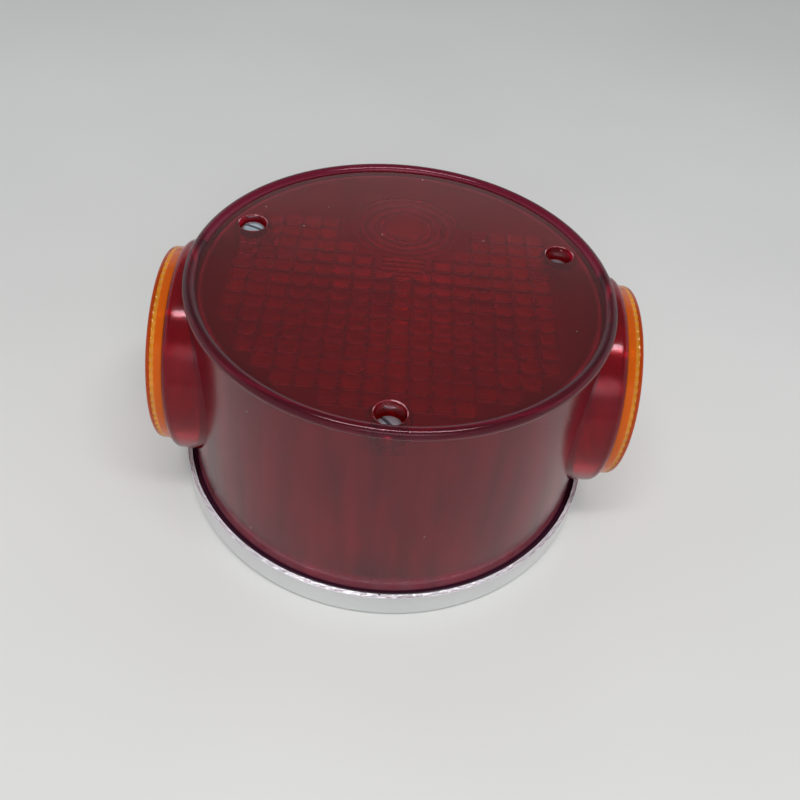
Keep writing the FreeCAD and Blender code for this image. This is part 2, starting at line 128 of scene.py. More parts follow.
def lathe(outline, segments, closed=False, relief=None):
    """Vertices and faces of a surface of revolution about Z.

    An open outline starts and ends on the axis; a closed one is a ring's section.
    relief(x, y, z, number) may return a moved height for a point.
    """
    vertices = []
    rings = []
    for number, (radius, height) in enumerate(outline):
        count = 1 if radius < 1e-6 else segments
        ring = []
        for step in range(count):
            angle = 2 * math.pi * step / segments
            x = radius * math.cos(angle)
            y = radius * math.sin(angle)
            z = relief(x, y, height, number) if relief else height
            ring.append(len(vertices))
            vertices.append((x, y, z))
        rings.append(ring)
    if closed:
        rings.append(rings[0])
    faces = []
    for lower, upper in zip(rings, rings[1:]):
        for step in range(segments):
            following = (step + 1) % segments
            if len(lower) == 1 and len(upper) == 1:
                continue
            if len(lower) == 1:
                faces.append((lower[0], upper[following], upper[step]))
            elif len(upper) == 1:
                faces.append((lower[step], lower[following], upper[0]))
            else:
                faces.append((lower[step], lower[following], upper[following], upper[step]))
    return vertices, faces


def moved(shape, turn=None, shift=(0.0, 0.0, 0.0)):
    """Turns a shape by a matrix, then shifts it."""
    vertices, faces = shape
    turn = turn or Matrix.Identity(3)
    return [tuple(turn @ Vector(v) + Vector(shift)) for v in vertices], faces


def joined(shapes):
    """One shape that holds several shapes."""
    vertices, faces = [], []
    for some_vertices, some_faces in shapes:
        start = len(vertices)
        vertices.extend(some_vertices)
        faces.extend([tuple(start + index for index in face) for face in some_faces])
    return vertices, faces


def box_shape(low, high):
    """Box between two corners."""
    corners = [(x, y, z) for x in (low[0], high[0]) for y in (low[1], high[1]) for z in (low[2], high[2])]
    faces = [(0, 1, 3, 2), (4, 6, 7, 5), (0, 4, 5, 1), (2, 3, 7, 6), (0, 2, 6, 4), (1, 5, 7, 3)]
    return corners, faces


def rod_shape(radius, low, high, segments=64):
    """Round rod along Z."""
    return lathe([(0, low), (radius, low), (radius, high), (0, high)], segments)


def sweep(points, radius, sides=10):
    """Round tube of the radius along open points, with flat ends."""
    vertices = []
    previous = None
    for number, here in enumerate(points):
        before = Vector(points[max(number - 1, 0)])
        after = Vector(points[min(number + 1, len(points) - 1)])
        along = (after - before).normalized()
        side = previous - along * previous.dot(along) if previous else along.orthogonal()
        side.normalize()
        previous = side
        other = along.cross(side)
        for step in range(sides):
            angle = 2 * math.pi * step / sides
            outward = side * math.cos(angle) + other * math.sin(angle)
            vertices.append(tuple(Vector(here) + radius * outward))
    faces = []
    for number in range(len(points) - 1):
        for step in range(sides):
            following = (step + 1) % sides
            base = number * sides
            faces.append((base + step, base + following, base + sides + following, base + sides + step))
    last = (len(points) - 1) * sides
    faces.append(tuple(reversed(range(sides))))
    faces.append(tuple(range(last, last + sides)))
    return vertices, faces


AXIS_TO_X = Matrix(((0, 0, 1), (0, 1, 0), (-1, 0, 0)))      # +Z becomes +X
AXIS_TO_LEFT = Matrix(((0, 0, -1), (0, 1, 0), (1, 0, 0)))    # +Z becomes -X


def build(name, shape, smooth_angle=35.0):
    """Makes an object from a shape in millimetres, with outward normals and smooth shading."""
    vertices, faces = shape
    mesh = bpy.data.meshes.new(name)
    mesh.from_pydata([(x * MM, y * MM, z * MM) for x, y, z in vertices], [], faces)
    work = bmesh.new()
    work.from_mesh(mesh)
    bmesh.ops.recalc_face_normals(work, faces=work.faces)
    work.to_mesh(mesh)
    work.free()
    thing = bpy.data.objects.new(name, mesh)
    bpy.context.scene.collection.objects.link(thing)
    shade(thing, smooth_angle)
    return thing


def shade(thing, smooth_angle):
    """Smooth shading, apart from edges sharper than the angle in degrees."""
    thing.data.shade_smooth()
    thing.data.set_sharp_from_angle(angle=math.radians(smooth_angle))


def combine(thing, tool_shape, operation, smooth_angle=35.0):
    """Joins a shape to a thing or cuts it away, and keeps only the resulting mesh."""
    tool = build("tool", tool_shape)
    cut = thing.modifiers.new("cut", "BOOLEAN")
    cut.solver = "MANIFOLD"
    cut.operation = operation
    cut.object = tool
    graph = bpy.context.evaluated_depsgraph_get()
    result = bpy.data.meshes.new_from_object(thing.evaluated_get(graph))
    thing.modifiers.clear()
    old = thing.data
    thing.data = result
    bpy.data.meshes.remove(old)
    bpy.data.objects.remove(tool)
    thing.data.name = thing.name
    shade(thing, smooth_angle)


def finish_piece(thing, body, material, slot_name, *nodes):
    """Gives a piece its first material, its body and the CAD nodes that it stands for; slot_name is not
    used.
    """
    thing.data.materials.clear()
    thing.data.materials.append(material)
    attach(thing, body)
    if nodes:
        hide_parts(*nodes)


# ------------------------------------------------------------------ material helpers
def new_material(name):
    """A material and its Principled surface."""
    material = bpy.data.materials.new(name)
    material.use_nodes = True
    nodes = material.node_tree.nodes
    surface = nodes["Principled BSDF"]
    return material, surface


def add_node(material, kind, settings=None, **inputs):
    """Adds a node; an input is a value, or an output socket to link from."""
    node = material.node_tree.nodes.new(kind)
    for key, value in (settings or {}).items():
        setattr(node, key, value)
    for key, value in inputs.items():
        connect(material, node.inputs[key.replace("_", " ")], value)
    return node


def connect(material, socket, value):
    if isinstance(value, bpy.types.NodeSocket):
        material.node_tree.links.new(value, socket)
    else:
        socket.default_value = value


def set_surface(material, surface, **inputs):
    """Sets or links inputs of the surface by name."""
    for key, value in inputs.items():
        connect(material, surface.inputs[key.replace("_", " ")], value)


def place(material, stretch=(1.0, 1.0, 1.0)):
    """Position on the object, stretched along its axes."""
    where = add_node(material, "ShaderNodeTexCoord")
    mapping = add_node(material, "ShaderNodeMapping", Vector=where.outputs["Object"])
    mapping.inputs["Scale"].default_value = stretch
    return mapping.outputs["Vector"]


def noise(material, scale, detail=3.0, stretch=(1.0, 1.0, 1.0)):
    """Noise from 0 to 1, in patches of about one over the scale in metres."""
    where = place(material, stretch)
    node = add_node(material, "ShaderNodeTexNoise", Vector=where, Scale=scale, Detail=detail)
    return node.outputs["Fac"]


def ramp(material, factor, stops):
    """Colour ramp; stops are (position, colour)."""
    node = add_node(material, "ShaderNodeValToRGB", Fac=factor)
    elements = node.color_ramp.elements
    while len(elements) < len(stops):
        elements.new(0.5)
    for element, (position, colour) in zip(elements, stops):
        element.position = position
        element.color = colour if len(colour) == 4 else (*colour, 1.0)
    return node.outputs["Color"]


def between(material, factor, low, high):
    """Maps a 0 to 1 factor to a range."""
    node = add_node(material, "ShaderNodeMapRange", Value=factor)
    node.inputs["To Min"].default_value = low
    node.inputs["To Max"].default_value = high
    return node.outputs["Result"]


def bump(material, height, distance, strength=1.0, under=None):
    """Fine relief, on top of the one under it if that is given."""
    node = add_node(material, "ShaderNodeBump", Height=height, Distance=distance, Strength=strength)
    if under:
        connect(material, node.inputs["Normal"], under)
    return node.outputs["Normal"]


def specks(material, scale, size):
    """1 inside small scattered dots, 0 elsewhere; only the cells above the rarity have a dot."""
    rarity = 0.72
    cells = add_node(material, "ShaderNodeTexVoronoi", Vector=place(material), Scale=scale)
    dots = add_node(material, "ShaderNodeMath", {"operation": "LESS_THAN"})
    connect(material, dots.inputs[0], cells.outputs["Distance"])
    dots.inputs[1].default_value = size
    chosen = add_node(material, "ShaderNodeSeparateColor", Color=cells.outputs["Color"])
    rare = add_node(material, "ShaderNodeMath", {"operation": "GREATER_THAN"})
    connect(material, rare.inputs[0], chosen.outputs["Red"])
    rare.inputs[1].default_value = rarity
    both = add_node(material, "ShaderNodeMath", {"operation": "MULTIPLY"})
    connect(material, both.inputs[0], dots.outputs["Value"])
    connect(material, both.inputs[1], rare.outputs["Value"])
    return both.outputs["Value"]


def mix_colour(material, factor, first, second):
    """The first colour at factor 0, the second at 1."""
    node = add_node(material, "ShaderNodeMix", {"data_type": "RGBA"})
    connect(material, node.inputs[0], factor)
    connect(material, node.inputs[6], first)
    connect(material, node.inputs[7], second)
    return node.outputs[2]


# ------------------------------------------------------------------ materials
WHITE = (1.0, 1.0, 1.0, 1.0)


def clear_plastic(name, colour, haze, roughness=0.05, flow=None, depth=0.86, gloss=0.5, sheen=WHITE):
    """Moulded transparent plastic with faint flow marks, fine scuffs and a little dust.

    flow stretches the flow marks along the object's axes, depth darkens them and sheen tints the gloss.
    """
    material, surface = new_material(name)
    swirl = noise(material, 170.0, 4.0, flow) if flow else noise(material, 28.0, 3.0)
    deep = tuple(channel * depth for channel in colour[:3])
    tint = ramp(material, swirl, [(0.30, colour), (0.72, deep)])
    dust = specks(material, 170.0, 0.034)
    scuff = noise(material, 420.0, 4.0, (1.0, 1.0, 0.25))
    wave = noise(material, 55.0, 2.0)
    relief = bump(material, wave, 0.00025, 0.35)
    relief = bump(material, scuff, 0.00003, 0.25, relief)
    set_surface(material, surface, IOR=1.49, Specular_IOR_Level=gloss, Specular_Tint=sheen, Normal=relief)
    set_surface(material, surface, Base_Color=mix_colour(material, dust, tint, (0.62, 0.48, 0.48, 1.0)))
    set_surface(material, surface, Roughness=between(material, scuff, roughness, roughness + 0.09))
    set_surface(material, surface, Transmission_Weight=between(material, dust, 1.0 - haze, 0.1))
    return material


def metal(name, colour, roughness, stain, grain=(1.0, 1.0, 1.0), depth=0.00002, scale=300.0, bare=1.0):
    """Plated or plain metal with fine grain and a slight stain; bare is lower under a dull film."""
    material, surface = new_material(name)
    fine = noise(material, scale, 4.0, grain)
    broad = noise(material, 35.0, 3.0)
    dark = tuple(channel * stain for channel in colour[:3])
    set_surface(material, surface, Metallic=bare, Normal=bump(material, fine, depth, 0.5))
    set_surface(material, surface, Base_Color=ramp(material, broad, [(0.35, colour), (0.75, dark)]))
    set_surface(material, surface, Roughness=between(material, fine, roughness * 0.7, roughness * 1.5))
    return material


def matt(name, colour, roughness, grain=500.0, depth=0.00004, contrast=0.75):
    """Rubber, fibre or moulded insulator."""
    material, surface = new_material(name)
    fine = noise(material, grain, 5.0)
    dark = tuple(channel * contrast for channel in colour[:3])
    set_surface(material, surface, Base_Color=ramp(material, fine, [(0.3, colour), (0.7, dark)]))
    set_surface(material, surface, Roughness=roughness, Normal=bump(material, fine, depth, 0.6))
    return material


def glass(name):
    """Thin clear glass with a slight wave."""
    material, surface = new_material(name)
    wave = noise(material, 90.0, 2.0)
    set_surface(material, surface, Base_Color=(0.97, 0.98, 0.98, 1.0), Transmission_Weight=1.0, IOR=1.5)
    set_surface(material, surface, Roughness=0.01, Normal=bump(material, wave, 0.0001, 0.2))
    return material


def optic_plastic(name, crest, shaded_groove, haze, roughness):
    """Inside of the lens: painted light on the crests of its pressed-in optics and painted shade on their
    lower edges.
    """
    material = clear_plastic(name, crest, haze, roughness)
    surface = material.node_tree.nodes["Principled BSDF"]
    # the stored attribute picks painted light on the crests and painted shade in the grooves
    painted_light = add_node(material, "ShaderNodeAttribute", {"attribute_name": "painted_optic_light"}).outputs["Fac"]
    set_surface(material, surface, Base_Color=ramp(material, painted_light, [(0.0, shaded_groove), (1.0, crest)]))
    return material


def torn(name):
    """Broken edge of red plastic: pale where it is crushed, red where it is whole."""
    material, surface = new_material(name)
    patches = noise(material, 330.0, 3.0)
    colours = [(0.51, (0.20, 0.012, 0.022)), (0.64, (0.56, 0.28, 0.32))]
    fine = noise(material, 900.0, 3.0)
    set_surface(material, surface, Base_Color=ramp(material, patches, colours), Roughness=0.35)
    set_surface(material, surface, Normal=bump(material, fine, 0.0001, 0.7))
    return material


def dull_foot_band(material, low, high):
    """The foot of the wall turns dull and greyish below the low height; this is gone above the high one."""
    film_colour = (0.185, 0.078, 0.096, 1.0)
    surface = material.node_tree.nodes["Principled BSDF"]
    where = add_node(material, "ShaderNodeTexCoord").outputs["Object"]
    height = add_node(material, "ShaderNodeSeparateXYZ", Vector=where).outputs["Z"]
    patches = between(material, noise(material, 260.0, 4.0), 0.6, 1.25)
    fade = add_node(material, "ShaderNodeMapRange", {"interpolation_type": "SMOOTHSTEP"}, Value=height)
    for name, value in (("From Min", low), ("From Max", high), ("To Min", 0.85), ("To Max", 0.0)):
        fade.inputs[name].default_value = value
    film = add_node(material, "ShaderNodeMath", {"operation": "MULTIPLY", "use_clamp": True})
    connect(material, film.inputs[0], fade.outputs["Result"])
    connect(material, film.inputs[1], patches)
    clean_colour = surface.inputs["Base Color"].links[0].from_socket
    clean_share = surface.inputs["Transmission Weight"].links[0].from_socket
    dull = mix_colour(material, film.outputs["Value"], clean_colour, film_colour)
    open_share = between(material, film.outputs["Value"], 1.0, 0.0)
    passing = add_node(material, "ShaderNodeMath", {"operation": "MULTIPLY"})
    connect(material, passing.inputs[0], clean_share)
    connect(material, passing.inputs[1], open_share)
    set_surface(material, surface, Base_Color=dull, Transmission_Weight=passing.outputs["Value"])


FLOW_DOWN = (1.0, 1.0, 0.12)
ROSY = (1.0, 0.62, 0.72, 1.0)
WARM = (1.0, 0.74, 0.45, 1.0)
red_wall = clear_plastic("red_wall", (0.56, 0.010, 0.052), 0.13, 0.16, FLOW_DOWN, 0.42)
dull_foot_band(red_wall, 9.0 * MM, 15.0 * MM)
red_face = clear_plastic("red_face", (0.58, 0.014, 0.030), 0.05, 0.05)
red_bead = clear_plastic("red_bead", (0.23, 0.008, 0.036), 0.12, 0.10, gloss=0.40, sheen=ROSY)
red_boss = clear_plastic("red_boss", (0.70, 0.010, 0.026), 0.12, 0.08, FLOW_DOWN, 0.60, 0.22, ROSY)
# dark, dull copy of the red plastic for the flange and wall foot: painted shade of the gap at the pan's
# edge
painted_shade_foot = clear_plastic("painted_shade_foot", (0.060, 0.010, 0.030), 0.60, 0.25, gloss=0.3)
# inside of the lens: painted light on the crests of the optics, painted shade in their grooves
red_inside = optic_plastic("red_inside", (0.86, 0.014, 0.030), (0.07, 0.006, 0.012), 0.16, 0.30)
torn_plastic = torn("torn_plastic")
amber_plastic = clear_plastic("amber_plastic", (0.87, 0.155, 0.004), 0.50, 0.07, depth=0.90, sheen=WARM)
# brighter, hazier orange for the skin over the outermost prisms: painted sparkle of the prism row
amber_painted_sparkle = clear_plastic("amber_painted_sparkle", (1.00, 0.38, 0.012), 0.72, 0.03, depth=0.45, gloss=0.8)
amber_rim = clear_plastic("amber_rim", (0.76, 0.085, 0.002), 0.36, 0.06, sheen=WARM)
clear_window = clear_plastic("clear_window", (0.96, 0.96, 0.95), 0.03, 0.05)
chrome = metal("chrome", (0.74, 0.75, 0.755), 0.09, 0.93, depth=0.00001, scale=120.0)
# dark matt coat inside the pan's rim: painted shade for the gap where the lens flange sits
painted_rim_shade = matt("painted_rim_shade", (0.035, 0.016, 0.020), 0.7, 400.0, 0.00006, 0.4)
raw_edge = metal("raw_edge", (0.93, 0.91, 0.97), 0.40, 0.62, depth=0.00012, scale=500.0, bare=0.45)
zinc = metal("zinc", (0.70, 0.80, 0.90), 0.30, 0.45, (1.0, 0.25, 1.0), 0.00010, bare=0.80)
# flat dark colour for the screw slots
slot_dark = matt("slot_dark", (0.055, 0.042, 0.045), 0.6, 500.0, 0.00004, 0.4)
steel = metal("steel", (0.60, 0.62, 0.64), 0.30, 0.75)
nickel = metal("nickel", (0.74, 0.72, 0.66), 0.20, 0.82)
brass = metal("brass", (0.80, 0.62, 0.30), 0.24, 0.78)
cap_brass = metal("cap_brass", (0.84, 0.70, 0.40), 0.18, 0.82)
solder = metal("solder", (0.66, 0.67, 0.68), 0.35, 0.80, depth=0.0001, scale=700.0)
tungsten = metal("tungsten", (0.38, 0.38, 0.40), 0.40, 0.85)
rubber = matt("rubber", (0.022, 0.022, 0.023), 0.62)
phenolic = matt("phenolic", (0.16, 0.075, 0.035), 0.45, 260.0)
fibre = matt("fibre", (0.36, 0.06, 0.04), 0.70, 700.0)
black_glass = matt("black_glass", (0.012, 0.012, 0.016), 0.12, 200.0, 0.00001)
bulb_glass = glass("bulb_glass")


# ------------------------------------------------------------------ lens
pillow_pitch = 5.6
pillow_field = 51.0
first_column = -8
last_column = 7
pillow_back_y = 28.0
pillow_rise = 0.8
eye_radius = 7.0
eye_ring_pitch = 3.0
eye_rings_radius = 16.0
eye_plain_radius = 19.0
bar_half_width = 6.0
bar_low_y = 2.6
bar_high_y = 11.4
bar_pitch = 2.2
bar_rise = 0.6
eye_rise = 0.9
eye_plate_rise = 0.35
# painted light level of the plain parts of the inside face
plain_painted_light = 0.35


def optics(x, y):
    """How far the inside of the face stands in at a place, and how much painted light it gets (0 to 1).

    The short bars come first, then the bull's eye with its rings, then the rows of pillows.
    """
    from_eye = math.hypot(x, y - bulls_eye_y)
    if abs(x) < bar_half_width and bar_low_y < y < bar_high_y:
        along = ((y - bar_low_y) / bar_pitch) % 1.0
        crest = math.sin(math.pi * along)
        return 0.1 + bar_rise * crest, plain_painted_light + 0.65 * crest
    if from_eye < eye_radius:
        fill = 1 - (from_eye / eye_radius) ** 2
        return eye_rise * fill + 0.2, 0.55 + 0.25 * fill
    if from_eye < eye_rings_radius:
        tooth = ((from_eye - eye_radius) / eye_ring_pitch) % 1.0
        fade = 1 - (from_eye - eye_radius) / (eye_rings_radius - eye_radius)
        swell = math.cos(2 * math.pi * tooth)
        rise = eye_plate_rise + (0.15 + 0.35 * fade) * swell
        return rise, 0.5 + (0.1 + 0.25 * fade) * swell
    column = math.floor(x / pillow_pitch + 0.5)
    row = math.floor(y / pillow_pitch)
    middle_x = column * pillow_pitch
    middle_y = (row + 0.5) * pillow_pitch
    in_columns = first_column <= column <= last_column
    if math.hypot(middle_x, middle_y) > pillow_field or middle_y > pillow_back_y or not in_columns:
        return 0.0, plain_painted_light
    if math.hypot(middle_x, middle_y - bulls_eye_y) < eye_plain_radius:
        return eye_plate_rise, 0.42
    across = 2 * (x - middle_x) / pillow_pitch
    along = 2 * (y - middle_y) / pillow_pitch
    scallop = 0.25 * (1 - across ** 2)
    # painted shade along the lower edge of each pillow, painted light on the rest of it
    shaded_lower_edge = max(0.0, min(1.0, (-along - 0.30 - scallop) / 0.28))
    painted_light = (1 - 0.95 * shaded_lower_edge) * (1 - 0.6 * abs(across) ** 5) * (1 - 0.4 * max(along, 0.0) ** 2)
    patch = 0.80 + 0.5 * ripple.noise(Vector((column * 0.37, row * 0.37, 3.0)))
    rise = 0.05 + pillow_rise * (1 - across ** 4) * (1 - along ** 4)
    return rise, painted_light * patch


def wall_radius(height):
    """Outer radius of the drafted side wall."""
    share = (height - flange_top) / (bead_height - bead_radius - flange_top)
    return wall_foot_radius + share * (wall_top_radius - wall_foot_radius)


def lens_outer_shape(segments):
    """Solid bounded by the outer skin of the lens."""
    bead_centre = (rim_radius - bead_radius, bead_height)
    inner_angle = 180.0 - math.degrees(math.asin((face_top - bead_height) / bead_radius))
    outer_angle = -math.degrees(math.acos((wall_top_radius - bead_centre[0]) / bead_radius))
    bead = arc(bead_centre, bead_radius, inner_angle, outer_angle, 22)
    wall_top = bead[-1]
    flat_radius = 54.0
    fillet = 1.0
    edge = 0.3
    outline = [(0, face_top), (flat_radius, face_top)] + bead
    outline += line(wall_top, (wall_foot_radius, flange_top + fillet), 24)
    outline += arc((wall_foot_radius + fillet, flange_top + fillet), fillet, 180, 270, 6)[1:]
    outline += arc((flange_radius - edge, flange_top - edge), edge, 90, 0, 4)
    outline += [(flange_radius, flange_bottom), (0, flange_bottom)]
    return lathe(outline, segments)


def lens_cavity_shape(segments):
    """The space inside the lens, with the optics pressed into its top."""
    corner = 2.0
    ring_step = 0.45
    foot = flange_bottom - 1.0
    inner_foot = wall_radius(flange_bottom) - lens_wall
    inner_top = wall_radius(face_bottom - corner) - lens_wall
    outline = [(0, foot), (inner_foot, foot), (inner_foot, flange_bottom)]
    outline += line((inner_foot, flange_bottom), (inner_top, face_bottom - corner), 20)
    outline += arc((inner_top - corner, face_bottom - corner), corner, 0, 90, 6)[1:]
    first_optic = len(outline)
    radius = inner_top - corner
    while radius > 2 * ring_step:
        radius -= ring_step
        outline.append((radius, face_bottom))
    outline.append((0, face_bottom))

    def relief(x, y, z, number):
        return z - optics(x, y)[0] if number >= first_optic else z

    return lathe(outline, segments, relief=relief)


def boss_shape(turn):
    """Ring wall of a side boss, from well inside the lens wall to its lip."""
    start = 44.0
    rounding = boss_end_x - boss_edge
    outline = [(boss_bore_radius, start), (boss_root_radius, start)]
    outline += line((boss_root_radius, start), (boss_radius, rounding), 8)
    outline += arc((boss_radius - boss_edge, rounding), boss_edge, 0, 90, 12)[1:]
    outline += [(boss_bore_radius, boss_end_x)]
    return moved(lathe(outline, 256, closed=True), turn, (0, 0, boss_height))


def window_shape(play):
    """Curved block of the number-plate window, grown by the play."""
    half = window_high.x + play
    low = window_low.z - play
    high = window_high.z + play
    steps = 28
    vertices = []
    for height in (low, high):
        for depth in (wall_radius(height), wall_radius(height) - lens_wall):
            radius = depth + (play * 8 if depth > wall_radius(height) - 1 else -play * 8)
            for step in range(steps + 1):
                x = -half + 2 * half * step / steps
                vertices.append((x, math.sqrt(radius ** 2 - x ** 2), height))
    row = steps + 1
    faces = []
    for step in range(steps):
        for first, second in ((0, 1), (1, 3), (3, 2), (2, 0)):
            a = first * row + step
            b = second * row + step
            faces.append((a, a + 1, b + 1, b))
    faces.append((0, row, 3 * row, 2 * row))
    faces.append(tuple(index + steps for index in (0, 2 * row, 3 * row, row)))
    return vertices, faces


def torn_mouth(x, y, z, number):
    """Uneven depth of the broken edge round the mouth of a screw well."""
    on_mouth = abs(z - face_top) < 0.1 or abs(z - face_top + well_lip) < 0.1
    return z + 0.2 * ripple.noise(Vector((x * 1.3, y * 1.3, z))) if on_mouth else z


def store_painted_optic_light(lens):
    """Keeps the painted light and shade of the optics with each point of the inside of the face."""
    tallest_optic = 1.4
    painted_light_elsewhere = 0.5
    painted_light = lens.data.attributes.new("painted_optic_light", "FLOAT", "POINT")
    for number, vertex in enumerate(lens.data.vertices):
        x, y, z = vertex.co / MM
        on_optics = face_bottom - tallest_optic < z < face_bottom + 0.05
        painted_light.data[number].value = optics(x, y)[1] if on_optics else painted_light_elsewhere


WALL, FACE, BEAD, BOSS, FOOT, INSIDE, TORN = range(7)


def lens_zone(face):
    """Which kind of surface a face of the lens belongs to."""
    foot_height = 1.3
    x, y, z = face.center / MM
    radius = math.hypot(x, y)
    from_well = min(math.dist((x, y), place) for place in SCREW_PLACES.values())
    if from_well < well_radius + well_lip + 0.01 and z > face_top - well_depth - 0.1:
        is_mouth = z > face_top - well_lip - 0.3 and from_well > well_radius - 0.05
        return TORN if is_mouth and face.normal.z < 0.97 else FACE
    if flange_bottom + 0.1 < z < face_bottom + 0.1 and radius < wall_radius(z) - lens_wall / 2:
        return INSIDE
    if z > bead_height - bead_radius - 0.1 and rim_radius - 2 * bead_radius < radius < rim_radius + 0.05:
        return BEAD
    if z > face_top - 0.1:
        return FACE
    # the foot faces get the painted shade
    if z < flange_top + foot_height:
        return FOOT
    return BOSS if radius > wall_radius(z) + 0.1 else WALL


def build_lens():
    """The whole lens moulding: shell, bosses, cavity with optics, screw wells and window opening."""
    lens = build("lens_visual", lens_outer_shape(512))
    combine(lens, joined([boss_shape(AXIS_TO_X), boss_shape(AXIS_TO_LEFT)]), "UNION")
    combine(lens, lens_cavity_shape(512), "DIFFERENCE")
    seat = face_top - well_depth
    seat_round = 0.2
    clear_above = 0.8
    cup_radius = well_radius + well_wall
    cup_bottom = seat - well_floor
    cups = []
    bores = []
    for x, y in SCREW_PLACES.values():
        cups.append(moved(rod_shape(cup_radius, cup_bottom, face_top - 0.4), None, (x, y, 0)))
        outline = [(0, seat), (well_radius - seat_round, seat), (well_radius, seat + seat_round)]
        outline += [(well_radius, face_top - well_lip), (well_radius + well_lip, face_top)]
        outline += [(well_radius + well_lip, face_top + clear_above), (0, face_top + clear_above)]
        bores.append(moved(lathe(outline, 96, relief=torn_mouth), None, (x, y, 0)))
        bores.append(moved(rod_shape(lens_hole_radius, cup_bottom - 1, seat + 0.5), None, (x, y, 0)))
    combine(lens, joined(cups), "UNION")
    for bore in bores:
        combine(lens, bore, "DIFFERENCE")
    combine(lens, window_shape(window_play), "DIFFERENCE", 30.0)
    lens_nodes = ("lens_shell", "lens_face", "boss_left", "boss_right")
    finish_piece(lens, "lens", red_wall, "red_lens", *lens_nodes)
    for material in (red_face, red_bead, red_boss, painted_shade_foot, red_inside, torn_plastic):
        lens.data.materials.append(material)
    store_painted_optic_light(lens)
    for face in lens.data.polygons:
        face.material_index = lens_zone(face)


def build_window():
    """Clear number-plate window in the side wall."""
    window_edge = 0.3
    window = build("plate_window_visual", window_shape(0.0), 30.0)
    edge = window.modifiers.new("edge", "BEVEL")
    edge.width = window_edge * MM
    edge.segments = 2
    finish_piece(window, "lens", clear_window, "clear_lens", "plate_window")


# ------------------------------------------------------------------ side reflectors
prism_pitch = 2.5
prism_depth = 1.15
prism_ends = 72
rim_depth = 1.25
prism_row_depth = 2.25


def prism_height(x, y):
    """Depth of the pyramid field at a place on the back of a reflector plate."""
    row_pitch = prism_pitch * math.sqrt(3) / 2
    row = math.floor(y / row_pitch + 0.5)
    shift = 0.5 * (row % 2)
    column = math.floor(x / prism_pitch + shift + 0.5) - shift
    across = abs(x - column * prism_pitch) / (prism_pitch / 2)
    along = abs(y - row * row_pitch) / (row_pitch / 2)
    return prism_depth * max(0.0, 1 - max(across, along))


def reflector_shape(turn):
    """Reflector cap: a plate with prisms on its back, a skirt on the boss and a spigot in its bore."""
    end = amber_high.x
    start = boss_end_x
    radius = amber_high.y
    plate = 2.0
    edge = 0.8
    skirt = 2.0
    draft = 0.4
    spigot = boss_bore_radius - 0.15
    spigot_wall = 1.8
    spigot_length = 1.1
    face_radius = radius - draft
    inner = radius - skirt
    spigot_inner = spigot - spigot_wall
    outline = [(0, end)]
    outline += line((0, end), (face_radius - edge - 1.6, end), 3)
    outline += arc((face_radius - edge, end - edge), edge, 90, 0, 8)
    outline += line((face_radius, end - edge), (radius - 0.1, start + 1.2), 12)
    outline += [(radius, start + 0.15), (radius - 0.15, start), (spigot, start)]
    outline += [(spigot, start - spigot_length), (spigot_inner, start - spigot_length)]
    outline += [(spigot_inner, start + 0.4)]
    outline += [(inner, start + 0.9), (inner, end - plate - 0.5), (inner - 0.5, end - plate)]
    first_prism = len(outline)
    step = 0.42
    ring = inner - 0.5 - step
    while ring > step:
        outline.append((ring, end - plate))
        ring -= step
    outline.append((0, end - plate))

    def relief(x, y, z, number):
        return z - prism_height(x, y) if number >= first_prism else z

    vertices, faces = lathe(outline, 432, relief=relief)
    vertices = [notched(vertex, radius, end) for vertex in vertices]
    return moved((vertices, faces), turn, (0, 0, boss_height))


def notched(vertex, radius, end):
    """Presses the ends of the outermost prisms into the skin as a row of small notches."""
    notch_depth = 0.35
    x, y, z = vertex
    if math.hypot(x, y) < radius - 0.7 or not end - 2.2 < z < end - 1.3:
        return vertex
    turn = prism_ends * math.atan2(y, x) / (2 * math.pi)
    keep = 1 - notch_depth * abs(2 * (turn % 1.0) - 1) / radius
    return x * keep, y * keep, z


def build_reflectors():
    """Both caps, with a darker rim and a brighter band of prism ends on the skin, whose colour is painted
    sparkle.
    """
    sparkle_slot = 1
    rim_slot = 2
    for side, turn in (("right", AXIS_TO_X), ("left", AXIS_TO_LEFT)):
        cap = build("reflector_%s_visual" % side, reflector_shape(turn), 28.0)
        finish_piece(cap, "lens", amber_plastic, "amber_lens", "reflector_" + side)
        cap.data.materials.append(amber_painted_sparkle)
        cap.data.materials.append(amber_rim)
        for face in cap.data.polygons:
            depth = amber_high.x - abs(face.center.x) / MM
            from_axis = math.hypot(face.center.y / MM, face.center.z / MM - boss_height)
            if depth < rim_depth:
                face.material_index = rim_slot
            # the skin band over the prism row gets the painted sparkle
            elif depth < prism_row_depth and from_axis > amber_high.y - 1.5:
                face.material_index = sparkle_slot


# ------------------------------------------------------------------ screws
def screw_outline(side):
    """Outline of a pan-head screw with a short thread, and the height of its top."""
    low, high = span("screw_" + side)
    shank = 2.0
    root = 1.62
    pitch = 0.7
    thread_length = 22.0
    neck = 1.78
    head = (high.x - low.x) / 2
    head_height = 2.5
    seat = high.z - head_height
    thread = []
    height = low.z + 0.6
    while height < low.z + thread_length:
        thread += [(root, height), (shank, height + pitch * 0.45), (shank, height + pitch * 0.55)]
        height += pitch
    outline = [(0, low.z), (root - 0.3, low.z)] + thread
    outline += [(neck, height), (neck, seat - 0.3), (1.95, seat), (head - 0.2, seat), (head, seat + 0.2)]
    outline += [(head, high.z - 1.1)]
    outline += [(head - 0.12, high.z - 0.7), (head - 0.45, high.z - 0.36), (head - 1.0, high.z - 0.14)]
    outline += [(head - 1.8, high.z - 0.03), (0, high.z)]
    return outline, high.z


